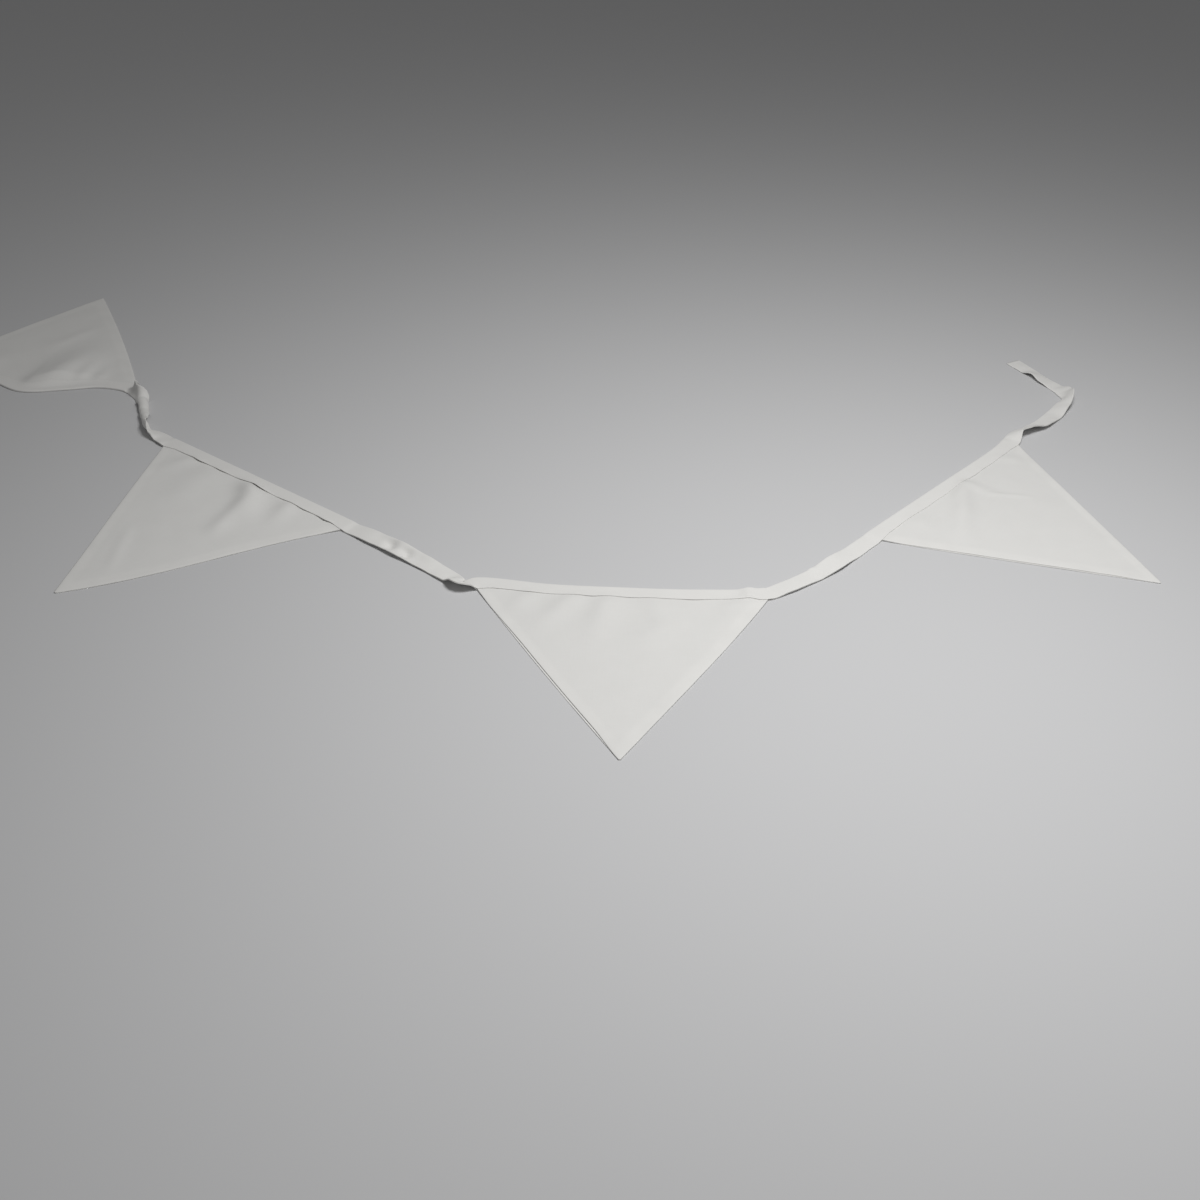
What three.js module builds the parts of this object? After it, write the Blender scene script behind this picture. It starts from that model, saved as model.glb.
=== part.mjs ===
// A string of white cloth bunting lying on a flat surface. Millimetres, +Z up, surface at z = 0.
// One long folded tape holds four pennants by their top edges. Each pennant is two cloth
// triangles, a front and a back, laid together. The tape runs from left to right in x, and its
// open edge, where the cloth goes in, is on its right-hand side unless the tape has rolled over.
import * as THREE from "three";

const degree = Math.PI / 180;

// Driving sizes
const pennantTop = 201; // length of cloth held by the tape
const tapeWidth = 13.8; // folded, from the fold to the open edge
const legThickness = 1.0; // one side of the folded tape
const clothThickness = 1.05;
const layerGap = 0.3; // between the tape and the cloth
const clothGap = 0.35; // between the two layers of a pennant
const closedSlot = 0.3; // what is left of the slot where no cloth is held
const closedSlotDepth = 0.9;
const slotDepth = 12.2; // how far in the slot goes where cloth is held
const clothTuck = 11.2; // cloth hidden in the slot
const slotRunOut = 9; // the slot closes over this length past a pennant's corner
const slotClearance = 1.6; // past the corner before it starts to close
const foldRadius = 0.7; // corner of the folded edge

const tapeHalf = tapeWidth / 2;
const openSlot = 2 * layerGap + 2 * clothThickness + clothGap;
const clothBase = legThickness + layerGap; // underside of the lower layer inside the tape

// Route of the tape's middle line. x and y are its place on the surface. roll turns it about its
// own line in degrees, positive where the open edge rises; 180 is turned right over. rise is the
// clear height under its lowest edge. curl bends it across its width, in degrees from edge to edge,
// positive where the edges fall away from its face. corner names a pennant's end.
const route = [
  { x: -688, y: 371, roll: 180, rise: 0, curl: 0 },
  { x: -662, y: 355, roll: 180, rise: 0, curl: 0 },
  { x: -632, y: 336, roll: 180, rise: 0, curl: 0 },
  { x: -601, y: 321, roll: 180, rise: 0, curl: 0, corner: "pennant_1" },
  { x: -562, y: 313, roll: 180, rise: 0, curl: 0 },
  { x: -527, y: 304, roll: 180, rise: 0, curl: 0 },
  { x: -499, y: 288.5, roll: 180, rise: 0, curl: 0 },
  { x: -466, y: 293, roll: 180, rise: 0, curl: 0 },
  { x: -436, y: 299, roll: 180, rise: 0, curl: 0 },
  { x: -409, y: 292, roll: 180, rise: 0, curl: 0, corner: "pennant_1" },
  { x: -402.5, y: 283, roll: 118, rise: 0, curl: 40 },
  { x: -397, y: 275, roll: 108, rise: 0, curl: 40 },
  { x: -389, y: 265, roll: 204, rise: 0, curl: -200 },
  { x: -385, y: 253, roll: 196, rise: 0, curl: -215 },
  { x: -383.5, y: 242, roll: 160, rise: 0, curl: -225 },
  { x: -380.5, y: 230, roll: 98, rise: 0, curl: -215 },
  { x: -374.5, y: 217.5, roll: 73, rise: 0, curl: -130 },
  { x: -365.5, y: 212, roll: 24, rise: 0, curl: -40 },
  { x: -358.5, y: 207, roll: 6, rise: 0, curl: 0 },
  { x: -353.5, y: 202.5, roll: 8, rise: 0, curl: 0 },
  { x: -349.5, y: 199.5, roll: 0, rise: 0, curl: 0, corner: "pennant_2" },
  { x: -269, y: 142, roll: 0, rise: 0, curl: 0 },
  { x: -188, y: 84, roll: 0, rise: 0, curl: 0, corner: "pennant_2" },
  { x: -165, y: 67, roll: -4, rise: 1.8, curl: 0 },
  { x: -147, y: 53, roll: -8, rise: 3, curl: 0 },
  { x: -128, y: 39.5, roll: -5, rise: 1.2, curl: 0 },
  { x: -105.5, y: 21.5, roll: 6, rise: 0, curl: 0 },
  { x: -96.5, y: 10.5, roll: 30, rise: 0, curl: 0 },
  { x: -86, y: 14.5, roll: 0, rise: 0, curl: 0, corner: "pennant_3" },
  { x: -36, y: 8.5, roll: 0, rise: 0, curl: 0 },
  { x: 15, y: 6.5, roll: 0, rise: 0, curl: 0 },
  { x: 66, y: 6, roll: 0, rise: 0, curl: 0 },
  { x: 114, y: 10, roll: 0, rise: 0, curl: 0, corner: "pennant_3" },
  { x: 129, y: 18.5, roll: 6, rise: 0, curl: 0 },
  { x: 151, y: 34, roll: 2, rise: 0.5, curl: 0 },
  { x: 167.5, y: 48.5, roll: -6, rise: 2, curl: 0 },
  { x: 184.5, y: 67, roll: -2, rise: 0, curl: 0 },
  { x: 202, y: 86.5, roll: 0, rise: 0, curl: 0, corner: "pennant_4" },
  { x: 270, y: 159, roll: 0, rise: 0, curl: 0 },
  { x: 325, y: 218, roll: 0, rise: 0, curl: 0 },
  { x: 336, y: 233, roll: 0, rise: 0, curl: 0, corner: "pennant_4" },
  { x: 344, y: 246.5, roll: 34, rise: 0, curl: 0 },
  { x: 354, y: 253.5, roll: 33, rise: 0, curl: 0 },
  { x: 369, y: 265, roll: 14, rise: 0, curl: 0 },
  { x: 384, y: 282, roll: 2, rise: 0, curl: 0 },
  { x: 395.5, y: 298, roll: 20, rise: 0, curl: 0 },
  { x: 403.5, y: 312, roll: 54, rise: 0, curl: 0 },
  { x: 403.5, y: 325, roll: 20, rise: 0, curl: 0 },
  { x: 399.5, y: 336.5, roll: 0, rise: 0, curl: 0 },
  { x: 393, y: 346, roll: -8, rise: 0, curl: 0 },
  { x: 388, y: 356, roll: -18, rise: 0, curl: 0 },
  { x: 382, y: 368.5, roll: 0, rise: 0, curl: 0 },
  { x: 373, y: 385, roll: 0, rise: 0, curl: 0 },
];

// Pennants. tip is the point's place. leftBow and rightBow swell the two long edges outwards, and
// leftSkew and rightSkew move that swelling towards the tip. over is true where the tape has rolled over.
// Each fold is a soft ridge in the cloth: from and to are measured along the taped edge from its
// middle, and then away from the tape; it is highest at from and dies away at to.
const pennants = [
  {
    name: "pennant_1", over: true, tip: [-490, 478], leftBow: 2, leftSkew: 0, rightBow: 3, rightSkew: 0,
    folds: [
      { from: [31, 14], to: [36, 96], width: 14, height: 7 },
      { from: [60, 14], to: [52, 60], width: 10, height: 2.5 },
      { from: [-52, 14], to: [-34, 64], width: 12, height: 2 },
    ],
  },
  {
    name: "pennant_2", over: false, tip: [-374, -8], leftBow: 0.6, leftSkew: -2, rightBow: 2, rightSkew: 3.5,
    folds: [
      { from: [7, 8], to: [44, 74], width: 10, height: 4.6 },
      { from: [52, 8], to: [60, 40], width: 9, height: 2 },
      { from: [-66, 10], to: [-62, 48], width: 10, height: 2.2 },
      { from: [-30, 28], to: [-16, 84], width: 16, height: 1.6 },
    ],
  },
  {
    name: "pennant_3", over: false, tip: [13.8, -162], leftBow: 1.6, leftSkew: 0, rightBow: 1.8, rightSkew: -0.6,
    folds: [
      { from: [-64, 10], to: [-86, 34], width: 7, height: 1.8 },
      { from: [-36, 10], to: [-68, 60], width: 8, height: 2.6 },
      { from: [-13, 10], to: [-26, 76], width: 10, height: 2.8 },
      { from: [17, 10], to: [21, 56], width: 9, height: 1.5 },
      { from: [80, 12], to: [56, 62], width: 9, height: 1.8 },
    ],
  },
  {
    name: "pennant_4", over: false, tip: [398.5, 35], leftBow: 1, leftSkew: -1, rightBow: 0.5, rightSkew: 0,
    folds: [
      { from: [12, 8], to: [24, 58], width: 7, height: 2 },
      { from: [2, 12], to: [-62, 52], width: 8, height: 2.4 },
      { from: [66, 8], to: [80, 32], width: 7, height: 1.6 },
      { from: [-58, 12], to: [-66, 40], width: 9, height: 1.4 },
    ],
  },
];

const clothWhite = new THREE.MeshStandardMaterial({ color: 0xdedcd5, roughness: 0.92, metalness: 0 });
const tapeWhite = new THREE.MeshStandardMaterial({ color: 0xe4e2dc, roughness: 0.9, metalness: 0 });

function smooth(from, to, value) {
  return THREE.MathUtils.smoothstep(value, from, to);
}

// The middle line of the tape, with lookups of distance along it.
const routeSteps = 24; // samples between two rows
const middleLine = new THREE.CatmullRomCurve3(
  route.map((row) => new THREE.Vector3(row.x, row.y, 0)),
  false,
  "centripetal",
);
middleLine.arcLengthDivisions = (route.length - 1) * routeSteps;
const distances = middleLine.getLengths();
const tapeLength = distances[distances.length - 1];
const rowDistance = route.map((row, k) => distances[k * routeSteps]);

function cornersOf(pennant) {
  return rowDistance.filter((distance, k) => route[k].corner === pennant.name);
}

// A column of the route at a distance along the tape, eased from row to row.
function columnAt(column, distance) {
  let k = rowDistance.findIndex((d) => d > distance) - 1;
  if (k < 0) {
    k = distance < rowDistance[1] ? 0 : route.length - 2;
  }
  const ease = smooth(rowDistance[k], rowDistance[k + 1], distance);
  return THREE.MathUtils.lerp(route[k][column], route[k + 1][column], ease);
}

// How far the slot is opened by cloth: 1 over a pennant, 0 in a gap.
function opening(distance) {
  const shares = pennants.map((pennant) => {
    const [start, end] = cornersOf(pennant);
    const past = Math.max(start - distance, distance - end, 0);
    return 1 - smooth(slotClearance, slotClearance + slotRunOut, past);
  });
  return Math.max(...shares);
}

// A point across the curled tape, from its middle line: how far it has gone to the side, how far
// it has dropped from the face, and the angle it has turned.
function curled(distance, across) {
  const angle = (columnAt("curl", distance) * degree * across) / tapeWidth;
  const bent = Math.abs(angle) > 1e-4;
  return {
    sideways: bent ? (across * Math.sin(angle)) / angle : across,
    height: bent ? (-across * (1 - Math.cos(angle))) / angle : 0,
    angle,
  };
}

// Place and directions of the tape at a distance along it: side points to the open edge.
function tapeFrame(distance) {
  const share = THREE.MathUtils.clamp(distance / tapeLength, 0, 1);
  const centre = middleLine.getPointAt(share);
  const along = middleLine.getTangentAt(share);
  const level = new THREE.Vector3(along.y, -along.x, 0);
  const up = new THREE.Vector3(0, 0, 1);
  const roll = columnAt("roll", distance) * degree;
  const side = level.clone().multiplyScalar(Math.cos(roll)).addScaledVector(up, Math.sin(roll));
  const face = level.clone().multiplyScalar(-Math.sin(roll)).addScaledVector(up, Math.cos(roll));
  const slot = THREE.MathUtils.lerp(closedSlot, openSlot, opening(distance));
  const halfThickness = slot / 2 + legThickness;
  const reaches = [-1, -0.5, 0, 0.5, 1].map((share) => {
    const { sideways, height, angle } = curled(distance, share * tapeHalf);
    const low = -sideways * Math.sin(roll) - height * Math.cos(roll);
    return low + halfThickness * Math.abs(Math.cos(roll - angle));
  });
  centre.z = Math.max(...reaches) + columnAt("rise", distance);
  return { centre, side, face, slot, halfThickness };
}

// Outline of the folded tape: out along the lower leg, round the fold, back along the upper leg
// and in and out of the slot. Each point is [towards the open edge, through the thickness]. The
// flat faces have points between, for the curl.
function tapeOutline(slot, depth, halfThickness) {
  const inner = slot / 2;
  const between = [0.5, 0, -0.5].map((share) => share * tapeHalf);
  return [
    [tapeHalf, -halfThickness],
    [tapeHalf, -inner],
    [tapeHalf - depth, -inner],
    [tapeHalf - depth, inner],
    [tapeHalf, inner],
    [tapeHalf, halfThickness],
    ...between.map((across) => [across, halfThickness]),
    [-tapeHalf + foldRadius, halfThickness],
    [-tapeHalf, halfThickness - foldRadius],
    [-tapeHalf, -halfThickness + foldRadius],
    [-tapeHalf + foldRadius, -halfThickness],
    ...between.reverse().map((across) => [across, -halfThickness]),
  ];
}

// Distances along the tape at which it has a section: closer where it rolls and bends.
function tapeStations() {
  const gapStep = 4.5;
  const heldStep = 10;
  const stations = [0];
  for (let k = 1; k < route.length; k += 1) {
    const length = rowDistance[k] - rowDistance[k - 1];
    const held = opening((rowDistance[k] + rowDistance[k - 1]) / 2) === 1;
    const count = Math.ceil(length / (held ? heldStep : gapStep));
    for (let i = 1; i <= count; i += 1) {
      stations.push(rowDistance[k - 1] + (length * i) / count);
    }
  }
  return stations;
}

function tapeGeometry() {
  const points = [];
  const triangles = [];
  const stations = tapeStations();
  let outline = [];
  stations.forEach((distance, row) => {
    const frame = tapeFrame(distance);
    const depth = THREE.MathUtils.lerp(closedSlotDepth, slotDepth, opening(distance));
    outline = tapeOutline(frame.slot, depth, frame.halfThickness);
    outline.forEach(([across, through], i) => {
      const { sideways, height, angle } = curled(distance, across);
      const point = frame.centre.clone();
      point.addScaledVector(frame.side, sideways + through * Math.sin(angle));
      point.addScaledVector(frame.face, height + through * Math.cos(angle));
      points.push(point.x, point.y, point.z);
      if (row > 0) {
        const a = row * outline.length + i;
        const b = row * outline.length + ((i + 1) % outline.length);
        triangles.push(a - outline.length, a, b - outline.length);
        triangles.push(b - outline.length, a, b);
      }
    });
  });
  const cap = THREE.ShapeUtils.triangulateShape(outline.map(([x, y]) => new THREE.Vector2(x, y)), []);
  const last = (stations.length - 1) * outline.length;
  cap.forEach(([a, b, c]) => {
    triangles.push(a, b, c);
    triangles.push(last + c, last + b, last + a);
  });
  return solid(points, triangles);
}

function solid(points, triangles) {
  const geometry = new THREE.BufferGeometry();
  geometry.setAttribute("position", new THREE.Float32BufferAttribute(points, 3));
  geometry.setIndex(triangles);
  geometry.computeVertexNormals();
  return geometry;
}

// Height of a pennant's folds at a point given along and away from the taped edge.
function foldHeight(pennant, along, away) {
  let height = 0;
  for (const fold of pennant.folds) {
    const run = new THREE.Line3(
      new THREE.Vector3(fold.from[0], fold.from[1], 0),
      new THREE.Vector3(fold.to[0], fold.to[1], 0),
    );
    const point = new THREE.Vector3(along, away, 0);
    const share = run.closestPointToPointParameter(point, true);
    const distance = run.at(share, new THREE.Vector3()).distanceTo(point);
    height += fold.height * (1 - smooth(0, 1, share)) * Math.exp(-((distance / fold.width) ** 2));
  }
  return height;
}

// Rows of a pennant by distance from the tape's middle line: the first ones lie in the slot and
// just past the open edge, and the rest are even down to the tip.
const clothRows = 21;
function rowAway(row, drop) {
  const heldRows = [tapeHalf - clothTuck, tapeHalf - clothTuck / 2, tapeHalf + 1.2];
  if (row < heldRows.length) {
    return heldRows[row];
  }
  const first = heldRows[heldRows.length - 1];
  return first + ((drop - first) * (row - heldRows.length + 1)) / (clothRows - heldRows.length + 1);
}

// Plan place of one point of a pennant: across runs 0 to 1 along the row, away from the tape.
function clothPlace(pennant, start, end, across, away) {
  const middle = middleLine.getPointAt((start + end) / 2 / tapeLength);
  const tip = new THREE.Vector3(pennant.tip[0], pennant.tip[1], 0);
  const drop = tip.distanceTo(middle);
  const down = THREE.MathUtils.clamp((away - tapeHalf) / (drop - tapeHalf), 0, 1);
  const frame = tapeFrame(THREE.MathUtils.lerp(start, end, across));
  const held = frame.centre.clone().addScaledVector(frame.side, Math.min(away, tapeHalf));
  const place = held.lerp(tip, down);
  const leftSwell = pennant.leftBow * (1 - across) * (1 + pennant.leftSkew * (2 * down - 1));
  const rightSwell = pennant.rightBow * across * (1 + pennant.rightSkew * (2 * down - 1));
  const swell = 4 * down * (1 - down) * (rightSwell - leftSwell);
  const run = middleLine.getPointAt(end / tapeLength).sub(middleLine.getPointAt(start / tapeLength));
  return place.addScaledVector(run.normalize(), swell);
}

// One layer of a pennant: level 0 lies on the surface and level 1 on top of it.
function clothGeometry(pennant, level) {
  const [start, end] = cornersOf(pennant);
  const middle = middleLine.getPointAt((start + end) / 2 / tapeLength);
  const drop = middle.distanceTo(new THREE.Vector3(pennant.tip[0], pennant.tip[1], 0));
  const points = [];
  const triangles = [];
  const rowStart = [];
  for (let row = 0; row <= clothRows; row += 1) {
    rowStart.push(points.length / 3);
    const away = rowAway(row, drop);
    const count = clothRows - row;
    for (let i = 0; i <= count; i += 1) {
      const across = count ? i / count : 0.5;
      const place = clothPlace(pennant, start, end, across, away);
      const width = (pennantTop * (drop - Math.max(away, tapeHalf))) / (drop - tapeHalf);
      const folds = foldHeight(pennant, (across - 0.5) * width, away);
      const settle = smooth(tapeHalf + 1.2, tapeHalf + 14, away);
      const height = clothBase * (1 - settle) + folds * smooth(tapeHalf + 1.2, tapeHalf + 8, away);
      points.push(place.x, place.y, height + level * (clothThickness + clothGap));
    }
  }
  const layer = points.length / 3;
  for (let i = 0; i < layer; i += 1) {
    points.push(points[3 * i], points[3 * i + 1], points[3 * i + 2] + clothThickness);
  }
  const face = (a, b, c) => {
    triangles.push(a, b, c, a + layer, c + layer, b + layer);
  };
  const wall = (a, b) => {
    triangles.push(a, b + layer, b, a, a + layer, b + layer);
  };
  for (let row = 0; row < clothRows; row += 1) {
    const count = clothRows - row;
    const [here, next] = [rowStart[row], rowStart[row + 1]];
    for (let i = 0; i < count; i += 1) {
      face(here + i, here + i + 1, next + i);
      if (i < count - 1) {
        face(here + i + 1, next + i + 1, next + i);
      }
      if (row === 0) {
        wall(here + i, here + i + 1);
      }
    }
    wall(here + count, next + count - 1);
    wall(next, here);
  }
  if (pennant.over) {
    for (let i = 0; i < triangles.length; i += 3) {
      [triangles[i + 1], triangles[i + 2]] = [triangles[i + 2], triangles[i + 1]];
    }
  }
  return solid(points, triangles);
}

function named(name, geometry, material) {
  const mesh = new THREE.Mesh(geometry, material);
  mesh.name = name;
  return mesh;
}

const bunting = new THREE.Group();
bunting.add(named("tape", tapeGeometry(), tapeWhite));
for (const pennant of pennants) {
  bunting.add(named(pennant.name + "_back", clothGeometry(pennant, pennant.over ? 1 : 0), clothWhite));
  bunting.add(named(pennant.name + "_front", clothGeometry(pennant, pennant.over ? 0 : 1), clothWhite));
}

// The origin is under the middle of the whole piece as it lies.
const extent = new THREE.Box3().setFromObject(bunting);
const centre = extent.getCenter(new THREE.Vector3());
bunting.position.set(-centre.x, -centre.y, -extent.min.z);

export default bunting;
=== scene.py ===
import bpy
import bmesh
import math
import numpy as np
from mathutils import Matrix, Vector


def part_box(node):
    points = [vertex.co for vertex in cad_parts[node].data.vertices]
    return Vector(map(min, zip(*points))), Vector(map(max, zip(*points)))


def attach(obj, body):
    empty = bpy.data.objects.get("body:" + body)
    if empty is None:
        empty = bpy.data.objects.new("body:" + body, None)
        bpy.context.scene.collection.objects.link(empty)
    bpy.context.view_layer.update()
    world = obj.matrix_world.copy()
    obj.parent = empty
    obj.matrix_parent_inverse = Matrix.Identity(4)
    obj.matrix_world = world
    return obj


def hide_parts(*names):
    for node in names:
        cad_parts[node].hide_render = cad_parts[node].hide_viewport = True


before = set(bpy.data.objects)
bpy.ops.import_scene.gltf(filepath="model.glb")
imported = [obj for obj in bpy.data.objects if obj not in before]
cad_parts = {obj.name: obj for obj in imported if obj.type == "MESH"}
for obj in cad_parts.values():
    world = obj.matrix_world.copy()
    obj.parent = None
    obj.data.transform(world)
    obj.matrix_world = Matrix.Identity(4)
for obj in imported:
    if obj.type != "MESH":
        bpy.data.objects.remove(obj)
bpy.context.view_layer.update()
print("frame loaded:", len(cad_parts), "nodes")

# Sizes are in millimetres on the plan of the string and become metres when a mesh is filled in.
mm = 0.001
scene = bpy.context.scene

tapeSizes = {
    "width": 13.8,            # folded, fold to open edge
    "ply": 0.22,              # one thickness of tape cloth
    "leg": 0.46,              # two plies, the raw edge turned under
    "hem": 5.0,               # how far the raw edge goes back inside
    "slotClosed": 0.1,        # between the legs in a gap
    "slotOpen": 1.05,         # and over a pennant
    "slotClearance": 0.4,     # past a pennant's corner before the slot closes
    "slotRunOut": 5.0,        # it closes over this length
    "foldReach": 0.7,         # radius of the fold
    "setBack": 2.0,           # the upper edge sits back from the lower one where cloth is held
    "heldRunIn": 14.0,        # from a pennant's corner until its cloth is held in full
    "edgeWave": 0.4,          # sideways waver of the sewn edge
    "edgeFrom": -2.0,         # the waver begins here, across the tape
    "liftMean": 0.5,          # share of a pennant's edge lift
    "liftSpread": 0.9,        # and how unevenly it comes and goes
    "upperTilt": (0.2, 0.8),  # a leg this level begins to count, and counts in full, as the upper one
    "stitchInset": 1.7,       # stitch line, in from the open edge
    "stitchDip": 0.09,
    "stitchWidth": 0.8,
    "edgeSpare": 0.15,        # past each edge, where its lowest point is looked for
    "hemRows": 5,             # points across the turned-in hem
    "legRows": 13,            # and across a leg
    "heldSpacing": 3.0,       # mesh spacing along a pennant, at most
    "freeSpacing": 2.0,       # and in a gap
}
halfTape = tapeSizes["width"] / 2    # from its middle line to the open edge, and to the fold

pennantSizes = {
    "top": 201.0,             # along the tape
    "cutDrop": 178.0,         # middle line of the tape to the tip, before each one's own size
    "tuck": 9.0,              # hidden in the tape
    "ply": 0.3,
    "pitch": 1.3,             # mesh spacing
    "weldBelow": 0.12,        # points closer than this become one
    "seamBand": 8.5,          # turned-in edge inside each long side
    "seamSoftness": 2.5,      # to each side of the band's inner edge
    "seamSteps": (0.4, 1.0, 2.0, 6.5, 10.0),    # rows of points along each long side
    "unevenness": 0.10,
    "bandHeight": 0.63,       # upper layer over the lower one, on the band
    "innerHeight": 0.58,      # and inside it
    "puff": 0.10,             # slow waves of the upper layer
    "puffStretch": 0.8,       # below 1 they are longer, away from the tape
    "edgeRound": 0.8,         # the layers part over this length at a long side
    "tipRadius": 1.1,
    "tipCuts": 3,             # that round it off
    "floorGap": 0.05,         # under the lower layer
    "slotGap": 0.1,           # between the lower layer and the tape's leg
    "edgeGap": 0.02,          # between the layers at a long side
    "mouthGap": 0.14,         # between the upper layer and the tape's other leg
    "waveShift": 30.0,        # how far a pennant's phase moves the waves of its cloth
    "puffShift": 50.0,
    # each begins and is full at these distances from the tape's edge
    "settle": (0.5, 15.0),    # coming down off the tape
    "foldRise": (-9.0, 8.0),
    "wrinkleFade": (0.0, 12.0),    # wrinkles of the tape dying away in the cloth
    "waveRise": (0.0, 10.0),
    "seamRise": (0.0, 4.0),
    "mouthFade": (-1.0, 6.0),      # from the layers' distance in the tape to their own
}

# Middle line of the tape: x, y on the surface, roll about its own line in degrees, rise, which is
# clear height, and curl, the bend in degrees from one edge to the other, positive where the edges
# hang down. A roll of 180 is turned right over, and the open edge rises where roll is positive.
routeColumns = {"roll": 2, "rise": 3, "curl": 4}
routeRows = [
    # the left tail, and pennant 1 turned right over
    (-688, 371, 180, 0, 0), (-662, 355, 180, 0, 0), (-632, 336, 180, 0, 0),
    (-601, 321, 180, 0, 0), (-562, 313, 180, 0, 0), (-527, 304, 180, 0, 0), (-499, 288.5, 180, 0, 0),
    (-466, 293, 180, 0, 0), (-436, 299, 180, 0, 0), (-409, 292, 180, 0, 0),
    # rolled up and over as a strand
    (-402.5, 283, 118, 0, 40), (-397, 275, 108, 0, 40), (-389, 265, 204, 0, -200),
    (-385, 253, 196, 0, -215), (-383.5, 242, 160, 0, -225), (-380.5, 230, 98, 0, -215),
    (-374.5, 217.5, 73, 0, -130), (-365.5, 212, 24, 0, -40), (-358.5, 207, 6, 0, 0),
    (-353.5, 202.5, 8, 0, 0),
    # pennant 2, and the gap after it
    (-349.5, 199.5, 0, 0, 0), (-269, 142, 0, 0, 0), (-188, 84, 0, 0, 0),
    (-165, 67, -4, 1.8, 0), (-147, 53, -8, 3, 0), (-128, 39.5, -5, 1.2, 0), (-105.5, 21.5, 6, 0, 0),
    (-96.5, 10.5, 30, 0, 0),
    # pennant 3, and the gap after it
    (-86, 14.5, 0, 0, 0), (-36, 8.5, 0, 0, 0), (15, 6.5, 0, 0, 0), (66, 6, 0, 0, 0), (114, 10, 0, 0, 0),
    (129, 18.5, 6, 0, 0), (151, 34, 2, 0.5, 0), (167.5, 48.5, -6, 2, 0), (184.5, 67, -2, 0, 0),
    # pennant 4
    (202, 86.5, 0, 0, 0), (270, 159, 0, 0, 0), (325, 218, 0, 0, 0), (336, 233, 0, 0, 0),
    # the right tail, which turns back
    (344, 246.5, 34, 0, 0), (354, 253.5, 33, 0, 0), (369, 265, 14, 0, 0), (384, 282, 2, 0, 0),
    (395.5, 298, 20, 0, 0), (403.5, 312, 54, 0, 0), (403.5, 325, 20, 0, 0), (399.5, 336.5, 0, 0, 0),
    (393, 346, -8, 0, 0), (388, 356, -18, 0, 0), (382, 368.5, 0, 0, 0), (373, 385, 0, 0, 0),
]

# Soft wrinkles of the tape in the gaps: from and to are distance along the tape and across it,
# positive towards the open edge.
tapeWrinkles = [
    {"from": (60, -6), "to": (75, 6), "width": 7, "height": 0.6},
    {"from": (636, -2), "to": (704, 1), "width": 5.5, "height": -1.0},
    {"from": (656, -6), "to": (663, 6), "width": 4.5, "height": -2.6},
    {"from": (673, -5), "to": (678, 6), "width": 4, "height": -2.4},
    {"from": (726, -14), "to": (730, 12), "width": 5, "height": 2.2},
    {"from": (935, -12), "to": (933, 8), "width": 5, "height": 2.0},
    {"from": (989, -9), "to": (997, -1), "width": 3, "height": 1.2},
    {"from": (985, 2), "to": (994, 8), "width": 3, "height": -0.6},
    {"from": (1330, -7), "to": (1318, 7), "width": 7, "height": 0.5},
    {"from": (1440, -6), "to": (1430, 6), "width": 7, "height": 0.5},
]

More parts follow.
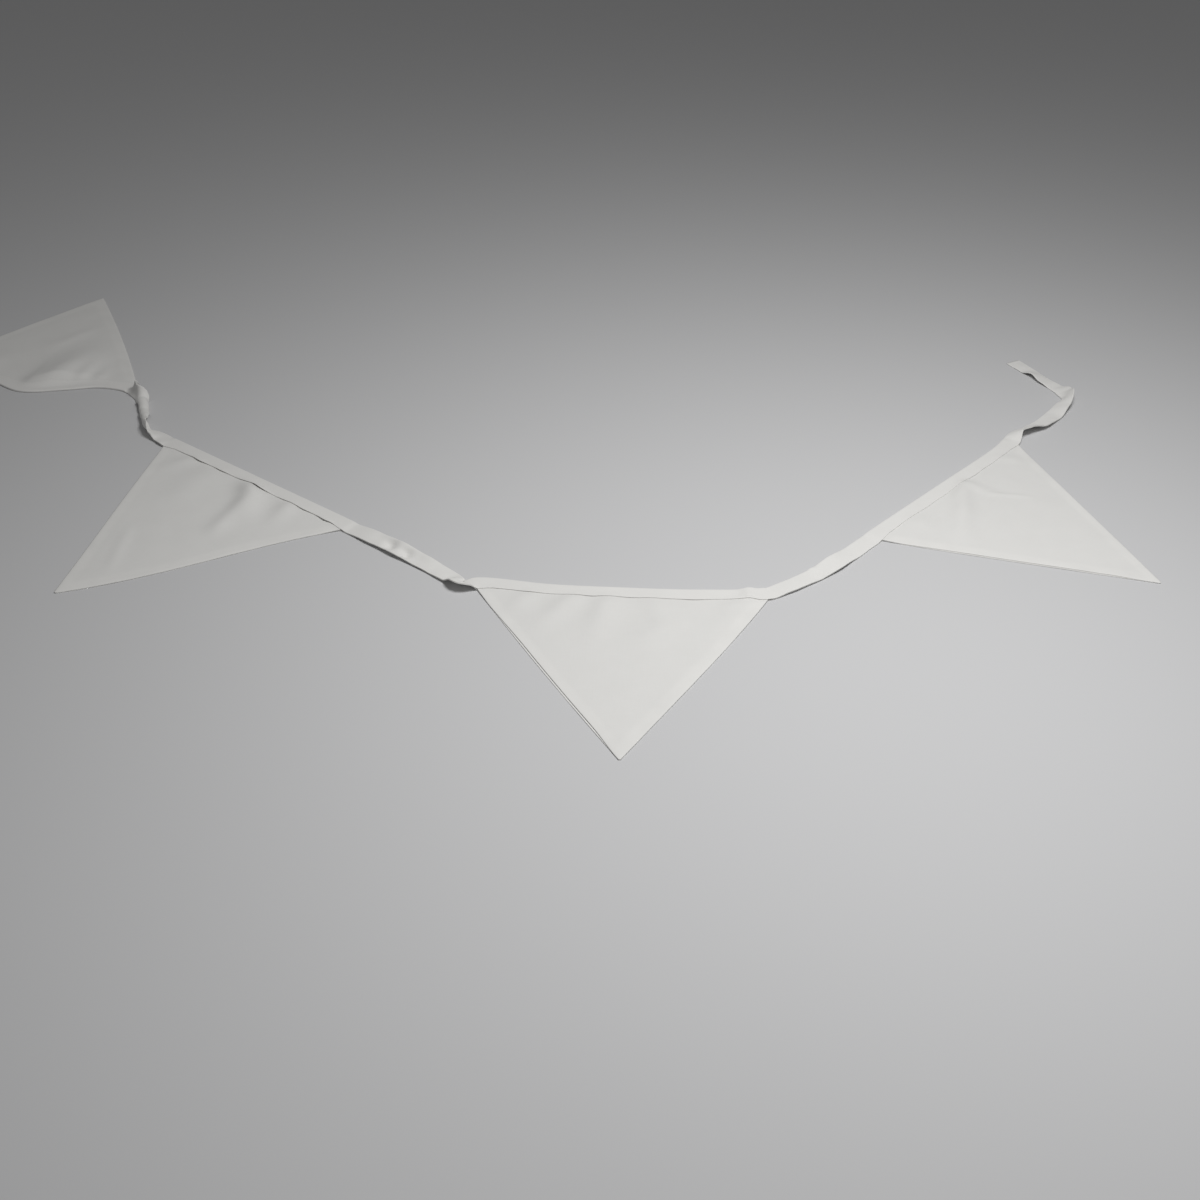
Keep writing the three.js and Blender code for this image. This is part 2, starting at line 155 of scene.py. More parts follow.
# A pennant's corners are rows of the route, counted from 0. Folds and creases: from and to are
# measured along the taped edge from its middle and then away from the tape. A fold dies away
# towards its end, a crease at both ends. Along a peek the lower layer shows past the upper one.
pennants = [
    {
        "name": "pennant_1", "corners": (3, 9), "over": True, "tip": (-490, 478),
        "bow": (2, 3), "skew": (0, 0), "peek": [], "phase": 0.4, "edgeLift": 0.1,
        "folds": [
            {"from": (32, 0), "to": (36, 96), "width": 19, "height": 9},
            {"from": (8, 0), "to": (16, 70), "width": 12, "height": 2.5},
            {"from": (56, 0), "to": (50, 60), "width": 6, "height": 2.4},
            {"from": (69, 0), "to": (63, 40), "width": 5, "height": 1.8},
            {"from": (-52, 2), "to": (-34, 64), "width": 12, "height": 2},
        ],
        "creases": [
            {"from": (-20, 60), "to": (30, 128), "width": 8, "height": 0.7},
        ],
    },
    {
        "name": "pennant_2", "corners": (20, 22), "over": False, "tip": (-374, -8),
        "bow": (0.6, 2), "skew": (-2, 3.5), "peek": [], "phase": 1.3, "edgeLift": 1.0,
        "folds": [
            {"from": (1, 0), "to": (46, 54), "width": 10, "height": 6.5},
            {"from": (45, 0), "to": (57, 42), "width": 8, "height": 2.8},
            {"from": (-64, 4), "to": (-80, 40), "width": 8, "height": 1.6},
            {"from": (-38, 20), "to": (-20, 84), "width": 16, "height": 1.4},
        ],
        "creases": [
            {"from": (14, 12), "to": (32, 78), "width": 8, "height": 2.0},
            {"from": (-30, 92), "to": (10, 150), "width": 5, "height": 0.6},
        ],
    },
    {
        "name": "pennant_3", "corners": (28, 32), "over": False, "tip": (13.8, -162),
        "bow": (1.6, 1.8), "skew": (0, -0.6), "phase": 2.2, "edgeLift": 0.2,
        "peek": [{"side": -1, "from": 20, "to": 165, "inset": 1.5, "lift": 0.2}],
        "folds": [
            {"from": (-60, 3), "to": (-82, 38), "width": 7, "height": 1.6},
            {"from": (-30, 2), "to": (-66, 62), "width": 8, "height": 2.2},
            {"from": (-8, 2), "to": (-24, 80), "width": 9, "height": 2.4},
            {"from": (23, 3), "to": (30, 60), "width": 9, "height": 1.5},
            {"from": (84, 4), "to": (52, 64), "width": 10, "height": 1.8},
        ],
        "creases": [
            {"from": (56, 20), "to": (-2, 60), "width": 9, "height": 1.0},
        ],
    },
    {
        "name": "pennant_4", "corners": (37, 40), "over": False, "tip": (398.5, 35),
        "bow": (1, 0.5), "skew": (-1, 0), "phase": 3.1, "edgeLift": 0.05,
        "peek": [{"side": -1, "from": 12, "to": 170, "inset": 1.1, "lift": 0.15}],
        "folds": [
            {"from": (10, 4), "to": (-60, 60), "width": 9, "height": 3.2},
            {"from": (14, 2), "to": (22, 50), "width": 6, "height": 1.4},
            {"from": (70, 0), "to": (84, 30), "width": 6, "height": 1.4},
            {"from": (-58, 4), "to": (-66, 44), "width": 9, "height": 1.2},
        ],
        "creases": [
            {"from": (11, 22), "to": (40, 58), "width": 2.6, "height": 0.6},
            {"from": (-2, 14), "to": (-66, 52), "width": 8, "height": 1.8},
        ],
    },
]

# The plan's own zero lies beside the middle of the string.
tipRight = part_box("pennant_4_back")[1].x / mm - pennants[3]["tip"][0]
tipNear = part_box("pennant_3_back")[0].y / mm - pennants[2]["tip"][1]
planShift = np.array([tipRight, tipNear, 0.0])


cameraSizes = {
    "distance": 937.0,        # to the plan's zero
    "down": 36.1,             # degrees
    "roll": 1.36,
    "lens": 40.8,
    "sensor": 36.0,
    "clip": (0.02, 30.0),     # metres
}


def makeCamera():
    data = bpy.data.cameras.new("viewCamera")
    data.lens = cameraSizes["lens"]
    data.sensor_width = cameraSizes["sensor"]
    data.clip_start, data.clip_end = cameraSizes["clip"]
    camera = bpy.data.objects.new("viewCamera", data)
    scene.collection.objects.link(camera)
    down = math.radians(cameraSizes["down"])
    roll = math.radians(cameraSizes["roll"])
    back = Vector((0.0, -math.cos(down), math.sin(down)))
    target = Vector(planShift) * mm
    turn = back.to_track_quat("Z", "Y") @ Matrix.Rotation(roll, 3, "Z").to_quaternion()
    camera.matrix_world = Matrix.LocRotScale(target + back * cameraSizes["distance"] * mm, turn, None)
    scene.camera = camera


makeCamera()


def smooth(low, high, value):
    share = np.clip((value - low) / (high - low), 0.0, 1.0)
    return share * share * (3.0 - 2.0 * share)


rowPlaces = np.array([row[:2] for row in routeRows], float)
samplesPerRow = 24


def spanCurve(row, share):
    # one span of the smooth line through the rows, and its direction
    ends = np.vstack([2 * rowPlaces[0] - rowPlaces[1], rowPlaces, 2 * rowPlaces[-1] - rowPlaces[-2]])
    before, here, there, after = (ends[row + i] for i in range(4))
    gap = [np.sqrt(np.linalg.norm(b - a, axis=-1, keepdims=True))
           for a, b in ((before, here), (here, there), (there, after))]
    leave = (here - before) / gap[0] - (there - before) / (gap[0] + gap[1]) + (there - here) / gap[1]
    arrive = (there - here) / gap[1] - (after - here) / (gap[1] + gap[2]) + (after - there) / gap[2]
    leave, arrive, s = leave * gap[1], arrive * gap[1], share[:, None]
    square = -3 * here + 3 * there - 2 * leave - arrive
    cube = 2 * here - 2 * there + leave + arrive
    return here + s * (leave + s * (square + s * cube)), leave + s * (2 * square + 3 * s * cube)


sampleParameter = np.arange((len(routeRows) - 1) * samplesPerRow + 1) / samplesPerRow
sampleRow = np.minimum(sampleParameter.astype(int), len(routeRows) - 2)
samplePlace = spanCurve(sampleRow, sampleParameter - sampleRow)[0]
sampleDistance = np.concatenate([[0], np.cumsum(np.linalg.norm(np.diff(samplePlace, axis=0), axis=1))])
rowDistance = sampleDistance[::samplesPerRow]
tapeLength = sampleDistance[-1]


def routeAt(distance):
    parameter = np.interp(distance, sampleDistance, sampleParameter)
    row = np.minimum(parameter.astype(int), len(routeRows) - 2)
    place, along = spanCurve(row, parameter - row)
    return place, along / np.linalg.norm(along, axis=1, keepdims=True)


def columnAt(name, distance):
    # a column of the rows, eased from row to row
    row = np.clip(np.searchsorted(rowDistance, distance, side="right") - 1, 0, len(routeRows) - 2)
    values = np.array([r[routeColumns[name]] for r in routeRows], float)
    ease = smooth(rowDistance[row], rowDistance[row + 1], distance)
    return values[row] + (values[row + 1] - values[row]) * ease


def cornersOf(pennant):
    first, last = pennant["corners"]
    return rowDistance[first], rowDistance[last]


def openingOver(pennant, distance):
    start, end = cornersOf(pennant)
    past = np.maximum(np.maximum(start - distance, distance - end), 0)
    clear = tapeSizes["slotClearance"]
    return 1 - smooth(clear, clear + tapeSizes["slotRunOut"], past)


def opening(distance):
    # how far the tape is opened by cloth: 1 over a pennant, 0 in a gap
    return np.maximum.reduce([openingOver(pennant, distance) for pennant in pennants])


def curlOf(distance, across):
    # a point across the curled tape: how far towards the open edge, how high and at what angle
    angle = np.radians(columnAt("curl", distance)) * across / tapeSizes["width"]
    sideways = across * np.sinc(angle / math.pi)
    height = -across * angle / 2 * np.sinc(angle / (2 * math.pi)) ** 2
    return sideways, height, angle


def tapeFrame(distance):
    # middle of the tape, direction to its open edge, direction of its face, half its thickness
    place, along = routeAt(distance)
    roll = np.radians(columnAt("roll", distance))[:, None]
    level = np.column_stack([along[:, 1], -along[:, 0], np.zeros(len(along))])
    up = np.array([0.0, 0.0, 1.0])
    side = level * np.cos(roll) + up * np.sin(roll)
    face = up * np.cos(roll) - level * np.sin(roll)
    closed = tapeSizes["slotClosed"]
    slot = closed + (tapeSizes["slotOpen"] - closed) * opening(distance)
    half = slot / 2 + tapeSizes["leg"]
    # it rests on the lowest of five points across it
    reach = np.full(len(distance), -np.inf)
    for share in (-1.0, -0.5, 0.0, 0.5, 1.0):
        sideways, height, angle = curlOf(distance, share * (halfTape + tapeSizes["edgeSpare"]))
        low = -side[:, 2] * sideways - face[:, 2] * height
        tilt = face[:, 2] * np.cos(angle) + side[:, 2] * np.sin(angle)
        reach = np.maximum(reach, low + half * np.abs(tilt))
    centre = np.column_stack([place, reach + columnAt("rise", distance)])
    return centre, side, face, half


creaseFade = 0.35    # share of a crease's length over which each end dies away


def ridges(table, along, away, bothEnds):
    # summed height of soft ridges, each along its own short line
    height = np.zeros(np.broadcast(along, away).shape)
    for ridge in table:
        (x0, y0), (x1, y1) = ridge["from"], ridge["to"]
        runX, runY = x1 - x0, y1 - y0
        share = np.clip(((along - x0) * runX + (away - y0) * runY) / (runX ** 2 + runY ** 2), 0, 1)
        apart = np.hypot(along - x0 - share * runX, away - y0 - share * runY)
        fade = 1 - smooth(0, 1, share)
        if bothEnds:
            fade = smooth(0, creaseFade, share) * (1 - smooth(1 - creaseFade, 1, share))
        height += ridge["height"] * fade * np.exp(-((apart / ridge["width"]) ** 2))
    return height


def ripple(x, y, waves):
    # a slow uneven ripple from a few crossing waves: wavelength, direction in degrees, phase
    total = np.zeros(np.broadcast(x, y).shape)
    for length, turn, phase in waves:
        angle = math.radians(turn)
        total += np.sin(2 * math.pi * (x * math.cos(angle) + y * math.sin(angle)) / length + phase)
    return total / len(waves)


edgeWaves = [(37.0, 0, 0.3), (23.0, 0, 1.9), (61.0, 0, 4.1)]
clothWaves = [(41.0, 20, 0.0), (33.0, 75, 1.1), (27.0, 130, 2.3), (58.0, 165, 4.0)]


def edgeRipple(distance):
    return ripple(distance, np.zeros(len(distance)), edgeWaves)


def pastTape(name, away):
    # 0 to 1 between the two distances from the tape's edge that pennantSizes gives
    first, last = pennantSizes[name]
    return smooth(halfTape + first, halfTape + last, away)


def foldHeight(pennant, along, away):
    # folds and creases begin inside the tape and are full just past its edge
    height = ridges(pennant["folds"], along, away, False) + ridges(pennant["creases"], along, away, True)
    return height * pastTape("foldRise", away)


def heldFolds(distance, across):
    # how far the folds of the cloth raise the tape that holds it
    height = np.zeros(len(distance))
    for pennant in pennants:
        start, end = cornersOf(pennant)
        along = ((distance - start) / (end - start) - 0.5) * pennantSizes["top"]
        height += foldHeight(pennant, along, across) * openingOver(pennant, distance)
    return height


def heldShare(distance):
    # 0 at a corner of a pennant and in the gaps, 1 well inside the pennant
    inside = [np.minimum(distance - start, end - distance) for start, end in map(cornersOf, pennants)]
    return smooth(0, tapeSizes["heldRunIn"], np.maximum.reduce(inside))


def edgeLift(distance):
    # the sewn edge of the tape stands off the cloth it holds, more in some places than in others
    lift = sum(pennant["edgeLift"] * openingOver(pennant, distance) for pennant in pennants)
    uneven = np.maximum(tapeSizes["liftMean"] + tapeSizes["liftSpread"] * edgeRipple(distance), 0)
    return lift * heldShare(distance) * uneven


def tapePlaces(distance, across, leg, ply, out=0.0):
    # points of the tape: across it towards the open edge, on the leg below (-1) or above (1),
    # ply 0 on the inner thickness and 1 on the outer, out is how far they stand off it
    sizes = tapeSizes
    centre, side, face, half = tapeFrame(distance)
    inner = half - sizes["leg"] + sizes["ply"] / 2
    outer = half - sizes["ply"] / 2
    level = np.abs(face[:, 2])
    upper = smooth(*sizes["upperTilt"], leg * face[:, 2])
    sewn = smooth(sizes["edgeFrom"], halfTape, across)
    stitchLine = np.exp(-(((across - halfTape + sizes["stitchInset"]) / sizes["stitchWidth"]) ** 2))
    through = leg * (inner + (outer - inner) * ply - sizes["stitchDip"] * stitchLine * ply + out)
    waver = (sizes["edgeWave"] + edgeLift(distance)) * level * edgeRipple(distance)
    across = across + sewn * (waver - sizes["setBack"] * upper * heldShare(distance))
    sideways, height, angle = curlOf(distance, across)
    normal = side * np.sin(angle)[:, None] + face * np.cos(angle)[:, None]
    places = centre + side * sideways[:, None] + face * height[:, None] + normal * through[:, None]
    places[:, 2] += level * (ridges(tapeWrinkles, distance, across, True) + heldFolds(distance, across))
    places[:, 2] += upper * edgeLift(distance) * smooth(0, halfTape, across)
    return places, normal * leg[:, None]


def gridMesh(name, columns, rows):
    # a level sheet of quads, whose points have their column and row as x and y
    bm = bmesh.new()
    bmesh.ops.create_grid(bm, x_segments=columns - 1, y_segments=rows - 1, size=0.5)
    bmesh.ops.translate(bm, vec=(0.5, 0.5, 0), verts=bm.verts)
    bmesh.ops.scale(bm, vec=(columns - 1, rows - 1, 1), verts=bm.verts)
    mesh = bpy.data.meshes.new(name)
    bm.to_mesh(mesh)
    bm.free()
    return mesh


def meshPlaces(mesh):
    places = np.empty(len(mesh.vertices) * 3)
    mesh.vertices.foreach_get("co", places)
    return places.reshape(-1, 3)


def fillMesh(mesh, places, flat, seam):
    # places in millimetres on the plan; flat is each point's place on the flat cloth
    mesh.vertices.foreach_set("co", ((places + planShift) * mm).ravel())
    corner = np.empty(len(mesh.loops), np.int32)
    mesh.loops.foreach_get("vertex_index", corner)
    layer = mesh.uv_layers.new(name="flatCloth")
    layer.uv.foreach_set("vector", (flat[corner] * mm).astype(np.float32).ravel())
    band = mesh.attributes.new("seamBand", "FLOAT", "POINT")
    band.data.foreach_set("value", seam.astype(np.float32))
    mesh.update()


def addPiece(mesh, material):
    piece = bpy.data.objects.new(mesh.name, mesh)
    scene.collection.objects.link(piece)
    mesh.materials.append(material)
    mesh.shade_smooth()
    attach(piece, "root")
    return piece


def addSheet(mesh, ply, material, node):
    # a piece of cloth that stands for a node, with its thickness to both sides of the mesh
    piece = addPiece(mesh, material)
    thick = piece.modifiers.new("ply", "SOLIDIFY")
    thick.thickness = ply * mm
    thick.offset = 0.0
    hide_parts(node)
    return piece


class Signal:
    # one output socket, so that shader maths reads as arithmetic
    def __init__(self, shader, socket):
        self.shader = shader
        self.socket = socket

    def output(self, index):
        return Signal(self.shader, self.socket.node.outputs[index])

    def math(self, operation, *values):
        return self.shader.node("ShaderNodeMath", {"operation": operation}, dict(enumerate(values)))

    def __add__(self, other):
        return self.math("ADD", self, other)

    def __radd__(self, other):
        return self.math("ADD", other, self)

    def __sub__(self, other):
        return self.math("SUBTRACT", self, other)

    def __rsub__(self, other):
        return self.math("SUBTRACT", other, self)

    def __mul__(self, other):
        return self.math("MULTIPLY", self, other)

    def __rmul__(self, other):
        return self.math("MULTIPLY", other, self)

    def sine(self):
        return self.math("SINE", self)

    def floor(self):
        return self.math("FLOOR", self)

    def absolute(self):
        return self.math("ABSOLUTE", self)

    def greatest(self, other):
        return self.math("MAXIMUM", self, other)


class Shader:
    # a material and its nodes
    def __init__(self, name):
        self.material = bpy.data.materials.new(name)
        self.material.use_nodes = True
        self.tree = self.material.node_tree
        self.tree.nodes.clear()

    def node(self, kind, settings=None, sockets=None):
        made = self.tree.nodes.new(kind)
        for key, value in (settings or {}).items():
            setattr(made, key, value)
        for key, value in (sockets or {}).items():
            if isinstance(value, Signal):
                self.tree.links.new(value.socket, made.inputs[key])
            else:
                made.inputs[key].default_value = value
        return Signal(self, made.outputs[0]) if made.outputs else None

    def noise(self, vector, scale, detail):
        return self.node("ShaderNodeTexNoise", {"noise_dimensions": "3D"},
                         {"Vector": vector, "Scale": scale, "Detail": detail, "Roughness": 0.5})

    def stretch(self, vector, scale, turn=0.0):
        return self.node("ShaderNodeMapping", None,
                         {"Vector": vector, "Rotation": (0.0, 0.0, math.radians(turn)), "Scale": scale})

    def mixColour(self, share, first, second):
        # a Mix node's colours are its inputs 6 and 7 and its output 2
        mixed = self.node("ShaderNodeMix", {"data_type": "RGBA"}, {0: share, 6: first, 7: second})
        return mixed.output(2)

    def finish(self, surface):
        self.node("ShaderNodeOutputMaterial", None, {"Surface": surface})
        return self.material


clothLook = {
    "colour": (0.800, 0.793, 0.772, 1.0),
    "shade": (0.757, 0.750, 0.728, 1.0),
    # painted light: a paler copy of the cloth colour for the seam bands, standing for the light that the
    # extra turned-in layers send back
    "seamPaintedLight": (0.826, 0.817, 0.792, 1.0),
    "threadPitch": 0.00042,       # metres, as all lengths of the weave are
    "weaveTurn": 0.0,             # degrees
    "weaveHeight": 0.000035,
    "slubLength": 0.0130,
    "slubWidth": 0.0009,
    "slubHeight": 0.00006,
    "bumpStrength": 0.6,
    "cloudScale": 55.0,           # broad uneven tone, spots per metre
    "cloudDetail": 3.0,
    "contrast": 1.6,              # between colour and shade
    "seamContrast": 1.3,          # how unevenly the painted light of the seam band comes through
    "seamFloor": -0.15,           # and how far it is held back
    "roughness": 0.9,
    "roughnessSpread": 0.15,
    "sheen": 0.12,
    "sheenRoughness": 0.6,
    "specular": 0.25,
}
tapeLook = dict(clothLook, colour=(0.830, 0.822, 0.800, 1.0), shade=(0.782, 0.773, 0.749, 1.0),
                threadPitch=0.00038, weaveTurn=45.0)


def wovenCotton(name, look):
    shader = Shader(name)
    flatCloth = shader.node("ShaderNodeUVMap", {"uv_map": "flatCloth"})
    flat = shader.stretch(flatCloth, (1.0, 1.0, 1.0), look["weaveTurn"])
    # plain weave: each thread goes over one and under one
    threads = shader.stretch(flat, (1.0 / look["threadPitch"], 1.0 / look["threadPitch"], 1.0))
    warp = shader.node("ShaderNodeSeparateXYZ", None, {"Vector": threads})
    weft = warp.output(1)
    warpRound = (warp * math.pi).sine().absolute()
    weftRound = (weft * math.pi).sine().absolute()
    warpUp = ((weft + warp.floor()) * math.pi).sine() * 0.5 + 0.5
    weftUp = 0.5 - ((warp + weft.floor()) * math.pi).sine() * 0.5
    weave = (warpRound * warpUp).greatest(weftRound * weftUp)
    # slubs: threads that run thicker for a few millimetres, both ways
    alongScale, acrossScale = 1.0 / look["slubLength"], 1.0 / look["slubWidth"]
    warpSlub = shader.noise(shader.stretch(flat, (acrossScale, alongScale, 1.0)), 1.0, 1.0)
    weftSlub = shader.noise(shader.stretch(flat, (alongScale, acrossScale, 1.0)), 1.0, 1.0)
    slub = (warpSlub + weftSlub) * 0.5
    cloudy = shader.noise(flat, look["cloudScale"], look["cloudDetail"])
    seam = shader.node("ShaderNodeAttribute", {"attribute_name": "seamBand"}).output(2)
    tone = (cloudy * 0.5 + slub * 0.5 - 0.5) * look["contrast"] + 0.5
    # painted light: the seam bands are made paler, for the light that the extra layers of cloth send
    # back
    seamLightShare = seam * (cloudy * look["seamContrast"] + look["seamFloor"])
    body = shader.mixColour(tone, look["shade"], look["colour"])
    colour = shader.mixColour(seamLightShare, body, look["seamPaintedLight"])
    relief = weave * look["weaveHeight"] + slub * look["slubHeight"]
    bump = shader.node("ShaderNodeBump", None,
                       {"Strength": look["bumpStrength"], "Distance": 1.0, "Height": relief})
    surface = shader.node("ShaderNodeBsdfPrincipled", None, {
        "Base Color": colour,
        "Roughness": look["roughness"] + (slub - 0.5) * look["roughnessSpread"],
        "Normal": bump,
        "Sheen Weight": look["sheen"],
        "Sheen Roughness": look["sheenRoughness"],
        "Specular IOR Level": look["specular"],
    })
    return shader.finish(surface)


clothMaterial = wovenCotton("wovenCotton", clothLook)
tapeMaterial = wovenCotton("biasTape", tapeLook)
print("materials made")


def tapeSection():
    # the folded strip as [towards the open edge, which ply, which leg]
    sizes = tapeSizes
    turn = (sizes["leg"] - sizes["ply"]) / 2
    bulge = sizes["foldReach"]
    hem = np.linspace(halfTape - sizes["hem"], halfTape - turn, sizes["hemRows"])
    leg = np.linspace(halfTape - turn, bulge - halfTape, sizes["legRows"])
    rows = [(across, 0.0) for across in hem]
    for angle in np.radians([45, 90, 135]):
        rows.append((halfTape - turn + turn * math.sin(angle), (1 - math.cos(angle)) / 2))
    rows += [(across, 1.0) for across in leg]
    lower = [(across, ply, -1.0) for across, ply in rows]
    upper = [(across, ply, 1.0) for across, ply in reversed(rows)]
    fold = [(bulge * (1 - math.cos(angle)) - halfTape, 1.0, math.sin(angle))
            for angle in np.radians([-60, -30, 0, 30, 60])]
    return lower + fold + upper


def tapeStations():
    stations = [0.0]
    for before, after in zip(rowDistance[:-1], rowDistance[1:]):
        held = opening(np.array([(before + after) / 2]))[0] == 1
        count = math.ceil((after - before) / tapeSizes["heldSpacing" if held else "freeSpacing"])
        stations.extend(before + (after - before) * np.arange(1, count + 1) / count)
    return np.array(stations)


def makeTape():
    section = np.array(tapeSection())
    stations = tapeStations()
    mesh = gridMesh("sewnTape", len(stations), len(section))
    column, row = np.rint(meshPlaces(mesh)[:, :2]).astype(int).T
    distance = stations[column]
    across, ply, leg = section[row].T
    places = tapePlaces(distance, across, leg, ply)[0]
    steps = np.linalg.norm(np.diff(section[:, [0, 2]] * [1, tapeSizes["foldReach"]], axis=0), axis=1)
    width = np.concatenate([[0], np.cumsum(steps)])
    fillMesh(mesh, places, np.column_stack([distance, width[row]]), np.zeros(len(places)))
    piece = addSheet(mesh, tapeSizes["ply"], tapeMaterial, "tape")
    print("tape made:", len(mesh.vertices), "points")


def clothPattern():
    # a triangle of cloth with a strip along its top for the tape, cut from a level grid
    sizes = pennantSizes
    halfTop = sizes["top"] / 2
    top = halfTape - sizes["tuck"]
    drop = sizes["cutDrop"]
    columns = int(sizes["top"] / sizes["pitch"]) + 1
    rows = int((drop - top) / sizes["pitch"]) + 1
    bm = bmesh.new()
    bmesh.ops.create_grid(bm, x_segments=columns, y_segments=rows, size=0.5)
    bmesh.ops.scale(bm, vec=(sizes["top"], drop - top, 1), verts=bm.verts)
    bmesh.ops.translate(bm, vec=(0, (drop + top) / 2, 0), verts=bm.verts)
    slope = Vector((drop - halfTape, halfTop, 0)).normalized()

    def cut(place, normal, clear):
        parts = bm.verts[:] + bm.edges[:] + bm.faces[:]
        bmesh.ops.bisect_plane(bm, geom=parts, dist=0.001, plane_co=place, plane_no=normal,
                               clear_outer=clear)

    sides = [(Vector((hand * halfTop, halfTape, 0)), Vector((hand * slope.x, slope.y, 0)))
             for hand in (-1, 1)]
    for corner, normal in sides:
        cut(corner, normal, True)
    for corner, normal in sides:
        for inset in sizes["seamSteps"]:
            cut(corner - normal * inset, normal, False)
    # the turned tip is a little round
    radius = sizes["tipRadius"]
    middle = Vector((0, drop - radius / slope.y, 0))
    first, last = math.atan2(slope.y, slope.x), math.atan2(slope.y, -slope.x)
    for angle in np.linspace(first, last, sizes["tipCuts"] + 2)[1:-1]:
        normal = Vector((math.cos(angle), math.sin(angle), 0))
        cut(middle + normal * radius, normal, True)
    bmesh.ops.remove_doubles(bm, verts=bm.verts, dist=sizes["weldBelow"])
    mesh = bpy.data.meshes.new("clothPattern")
    bm.to_mesh(mesh)
    bm.free()
    return mesh


def dropOf(pennant):
    # from the middle line of the tape to the tip
    start, end = cornersOf(pennant)
    middle = routeAt(np.array([(start + end) / 2]))[0][0]
    return np.linalg.norm(np.array(pennant["tip"]) - middle)


def widthAt(down):
    # across a pennant, at a share of the way down to its tip
    return np.maximum(pennantSizes["top"] * (1 - down), 1e-6)


def sideInsets(along, down, drop):
    # how far in from the left and from the right long side
    lean = math.cos(math.atan2(pennantSizes["top"] / 2, drop - halfTape))
    return (widthAt(down) / 2 + along) * lean, (widthAt(down) / 2 - along) * lean


def bowOf(pennant, across, down):
    # how far the bow of the long sides moves a point to the right
    leftBow, rightBow = pennant["bow"]
    leftSkew, rightSkew = pennant["skew"]
    leftSwell = leftBow * (1 - across) * (1 + leftSkew * (2 * down - 1))
    rightSwell = rightBow * across * (1 + rightSkew * (2 * down - 1))
    return 4 * down * (1 - down) * (rightSwell - leftSwell)


def lowerHeight(pennant, distance, along, away):
    # the lower layer comes down off the leg of the tape, with its folds and the tape's wrinkles
    sizes = pennantSizes
    folds = foldHeight(pennant, along, away)
    wrinkles = ridges(tapeWrinkles, distance, np.minimum(away, halfTape), True)
    folds += wrinkles * (1 - pastTape("wrinkleFade", away))
    waves = 1 + ripple(along + sizes["waveShift"] * pennant["phase"], away, clothWaves)
    folds += sizes["unevenness"] * waves * pastTape("waveRise", away)
    lowest = sizes["ply"] / 2 + sizes["floorGap"]
    inSlot = tapeSizes["leg"] + sizes["slotGap"] + sizes["ply"] / 2
    return folds + inSlot + (lowest - inSlot) * pastTape("settle", away)


def layerGap(pennant, along, away, inset, seam):
    # from the lower layer up to the upper one
    sizes = pennantSizes
    shift = sizes["puffShift"] * pennant["phase"]
    waves = 1 + ripple(away * sizes["puffStretch"], along + shift, clothWaves)
    gap = sizes["innerHeight"] + (sizes["bandHeight"] - sizes["innerHeight"]) * seam
    gap = gap + sizes["puff"] * waves * pastTape("settle", away) * (1 - seam)
    edge = sizes["ply"] + sizes["edgeGap"]
    gap = edge + (gap - edge) * (1 - np.exp(-inset / sizes["edgeRound"]))
    inMouth = tapeSizes["slotOpen"] - sizes["ply"] - sizes["mouthGap"]
    return gap + (inMouth - gap) * (1 - pastTape("mouthFade", away))


peekSizes = {
    "easeIn": 45.0,           # it opens over this length
    "easeOut": 25.0,
    "reach": 9.0,             # how far in from the side the upper layer is drawn back
    "liftReach": 2.5,         # and how far in it is lifted
}


def pennantPlaces(pennant, flat, upperLayer):
    start, end = cornersOf(pennant)
    tip = np.array(pennant["tip"], float)
    drop = dropOf(pennant)
    along, away = flat.T
    down = np.clip((away - halfTape) / (drop - halfTape), 0, 1)
    across = np.clip(0.5 + along / widthAt(down), 0, 1)
    distance = start + (end - start) * across
    centre, side = tapeFrame(distance)[:2]
    held = centre[:, :2] + side[:, :2] * np.minimum(away, halfTape)[:, None]
    right = routeAt(np.array([end]))[0][0] - routeAt(np.array([start]))[0][0]
    right = right / np.linalg.norm(right)
    places = held + (tip - held) * down[:, None] + right * bowOf(pennant, across, down)[:, None]
    leftInset, rightInset = sideInsets(along, down, drop)
    inset = np.where(away < halfTape, np.inf, np.minimum(leftInset, rightInset))
    band, soft = pennantSizes["seamBand"], pennantSizes["seamSoftness"]
    seam = (1 - smooth(band - soft, band + soft, inset)) * pastTape("seamRise", away)
    height = lowerHeight(pennant, distance, along, away)
    if upperLayer:
        height = height + layerGap(pennant, along, away, inset, seam)
        for peek in pennant["peek"]:
            near = leftInset if peek["side"] < 0 else rightInset
            shows = smooth(peek["from"], peek["from"] + peekSizes["easeIn"], away)
            shows = shows * (1 - smooth(peek["to"] - peekSizes["easeOut"], peek["to"], away))
            drawn = peek["side"] * peek["inset"] * shows * np.exp(-near / peekSizes["reach"])
            places = places - right * drawn[:, None]
            height = height + peek["lift"] * shows * np.exp(-near / peekSizes["liftReach"])
    return np.column_stack([places, height]), seam


def makePennant(pennant, pattern):
    drop = dropOf(pennant)
    stretch = (drop - halfTape) / (pennantSizes["cutDrop"] - halfTape)
    for name in ("back", "front"):
        node = pennant["name"] + "_" + name
        mesh = pattern.copy()
        mesh.name = pennant["name"] + name.capitalize()
        flat = meshPlaces(mesh)[:, :2]
        below = flat[:, 1] > halfTape
        flat[below, 1] = halfTape + (flat[below, 1] - halfTape) * stretch
        places, seam = pennantPlaces(pennant, flat, (name == "front") != pennant["over"])
        fillMesh(mesh, places, flat, seam)
        if not pennant["over"]:
            mesh.flip_normals()
        piece = addSheet(mesh, pennantSizes["ply"], clothMaterial, node)
    print(pennant["name"], "made")


stitchSizes = {
    "pitch": 2.9,
    "length": 2.2,
    "thread": 0.12,           # radius
    "endGap": 2.0,            # from the tape's end to the first stitch
    "cornerGap": 6.0,         # none beside a pennant's corner, where the tape closes
}


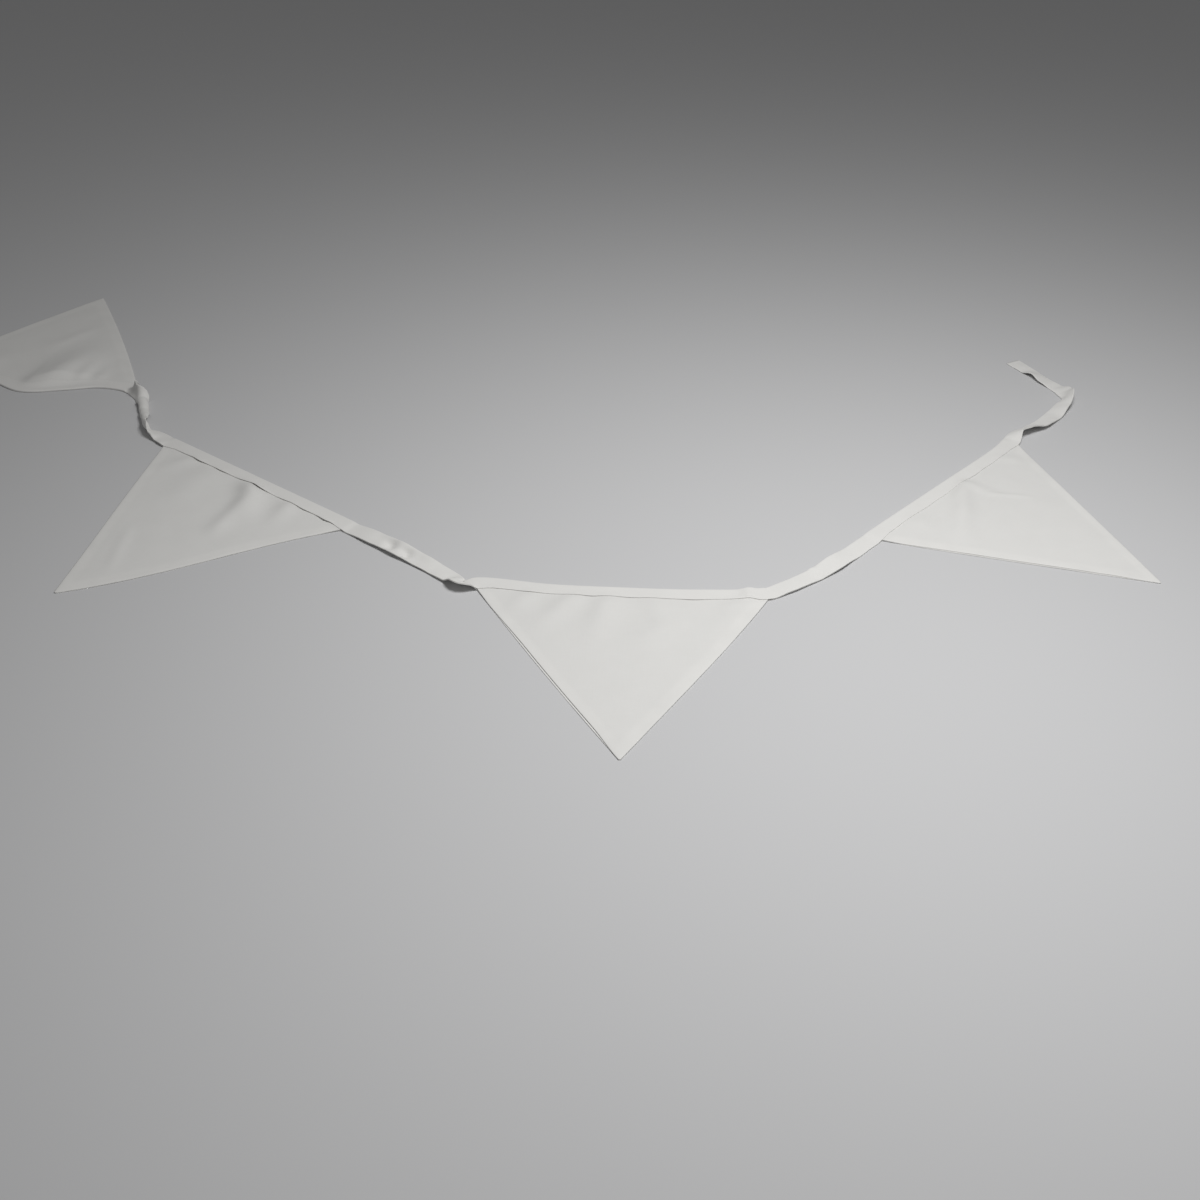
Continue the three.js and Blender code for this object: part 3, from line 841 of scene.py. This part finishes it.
def stitchMesh(count):
    # copies of one small rounded stitch, each as long as 2 before it is put in place
    shape = bpy.data.meshes.new("oneStitch")
    bm = bmesh.new()
    lying = Matrix.Rotation(math.pi / 2, 4, "Y")
    bmesh.ops.create_uvsphere(bm, u_segments=6, v_segments=4, radius=1.0, matrix=lying)
    bm.to_mesh(shape)
    bm.clear()
    for _ in range(count):
        bm.from_mesh(shape)
    mesh = bpy.data.meshes.new("stitches")
    bm.to_mesh(mesh)
    bm.free()
    bpy.data.meshes.remove(shape)
    return mesh


def makeStitches():
    # one short stitch after another along the tape's open edge, on both faces
    endGap = stitchSizes["endGap"]
    starts = np.arange(endGap, tapeLength - 2 * endGap, stitchSizes["pitch"])
    corners = np.concatenate([cornersOf(pennant) for pennant in pennants])
    starts = starts[np.abs(starts[:, None] - corners).min(axis=1) > stitchSizes["cornerGap"]]
    distance = np.concatenate([starts, starts])
    leg = np.repeat([-1.0, 1.0], len(starts))
    across = np.full(len(distance), halfTape - tapeSizes["stitchInset"])
    ply = np.ones(len(distance))
    here, outward = tapePlaces(distance, across, leg, ply, tapeSizes["ply"] / 2)
    there = tapePlaces(distance + stitchSizes["length"], across, leg, ply, tapeSizes["ply"] / 2)[0]
    heading = (there - here) / 2
    sideways = np.cross(outward, heading)
    sideways = sideways / np.linalg.norm(sideways, axis=1, keepdims=True) * stitchSizes["thread"]
    mesh = stitchMesh(len(distance))
    shape = meshPlaces(mesh).reshape(len(distance), -1, 3)
    places = ((here + there) / 2)[:, None] + shape[:, :, :1] * heading[:, None]
    places = places + shape[:, :, 1:2] * sideways[:, None]
    places = places + shape[:, :, 2:] * (outward * stitchSizes["thread"])[:, None]
    mesh.vertices.foreach_set("co", ((places + planShift) * mm).ravel())
    addPiece(mesh, tapeMaterial)
    print("stitches made:", len(mesh.polygons), "faces")


makeTape()
pattern = clothPattern()
for entry in pennants:
    makePennant(entry, pattern)
bpy.data.meshes.remove(pattern)
makeStitches()

stageLook = {
    "floor": (0.62, 0.62, 0.625, 1.0),
    "floorRoughness": 0.9,
    "floorSize": 6.0,
    "ambient": 0.15,
    "keyPower": 5.6,
    "keySize": 0.34,
    "keyPlace": (0.355, -0.22, 0.82),
}


def makeStage():
    bm = bmesh.new()
    bmesh.ops.create_grid(bm, x_segments=1, y_segments=1, size=stageLook["floorSize"])
    mesh = bpy.data.meshes.new("floor")
    bm.to_mesh(mesh)
    bm.free()
    shader = Shader("paleFloor")
    surface = {"Base Color": stageLook["floor"], "Roughness": stageLook["floorRoughness"]}
    mesh.materials.append(shader.finish(shader.node("ShaderNodeBsdfPrincipled", None, surface)))
    floor = bpy.data.objects.new("floor", mesh)
    scene.collection.objects.link(floor)
    world = bpy.data.worlds.new("softRoom")
    world.use_nodes = True
    background = world.node_tree.nodes["Background"]
    background.inputs["Color"].default_value = (1.0, 1.0, 1.0, 1.0)
    background.inputs["Strength"].default_value = stageLook["ambient"]
    scene.world = world
    data = bpy.data.lights.new("keyLight", "AREA")
    data.shape = "DISK"
    data.size = stageLook["keySize"]
    data.energy = stageLook["keyPower"]
    key = bpy.data.objects.new("keyLight", data)
    key.location = stageLook["keyPlace"]
    key.visible_camera = False
    scene.collection.objects.link(key)
    scene.view_settings.view_transform = "Standard"


makeStage()
print("stage made")
